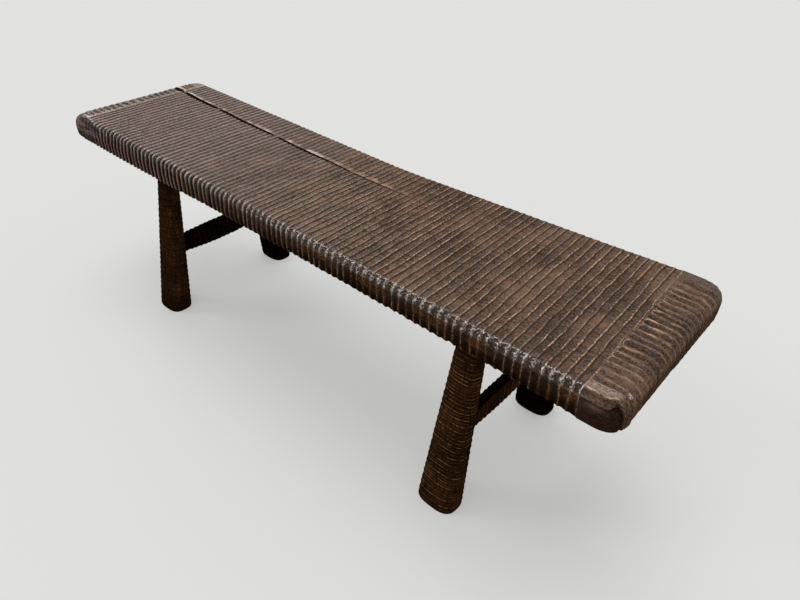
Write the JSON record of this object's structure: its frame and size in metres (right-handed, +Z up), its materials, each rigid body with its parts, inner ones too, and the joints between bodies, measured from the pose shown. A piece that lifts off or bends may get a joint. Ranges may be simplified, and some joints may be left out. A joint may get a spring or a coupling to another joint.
{
  "type": "bench",
  "caption": "Long carved teak bench with a fluted slab seat on splayed, ring-carved legs, each near and far pair joined by a low stretcher.",
  "frame": {"origin": "on the floor, below the middle of the bench's box", "axes": "+X along the seat to the right end, -Y towards the straight near edge, +Z up"},
  "size_m": [1.462, 0.403, 0.45],
  "materials": {
    "seat_teak": "dark stained teak, carved in flutes and waxed to a satin sheen",
    "leg_teak": "very dark stained teak, ring carved, satin",
    "stretcher_teak": "very dark stained teak with hand-tool marks, satin",
    "wedge_wood": "plain unstained hardwood"
  },
  "bodies": {
    "root": {"seat_slab": "seat_teak", "leg_near_left": "leg_teak", "leg_near_right": "leg_teak", "leg_far_left": "leg_teak", "leg_far_right": "leg_teak", "stretcher_left": "stretcher_teak", "stretcher_right": "stretcher_teak", "leg_wedge_near_left": "wedge_wood", "leg_wedge_near_right": "wedge_wood", "leg_wedge_far_left": "wedge_wood", "leg_wedge_far_right": "wedge_wood", "stretcher_wedge_near_left": "wedge_wood", "stretcher_wedge_near_right": "wedge_wood", "stretcher_wedge_far_left": "wedge_wood", "stretcher_wedge_far_right": "wedge_wood"}
  },
  "joints": []
}
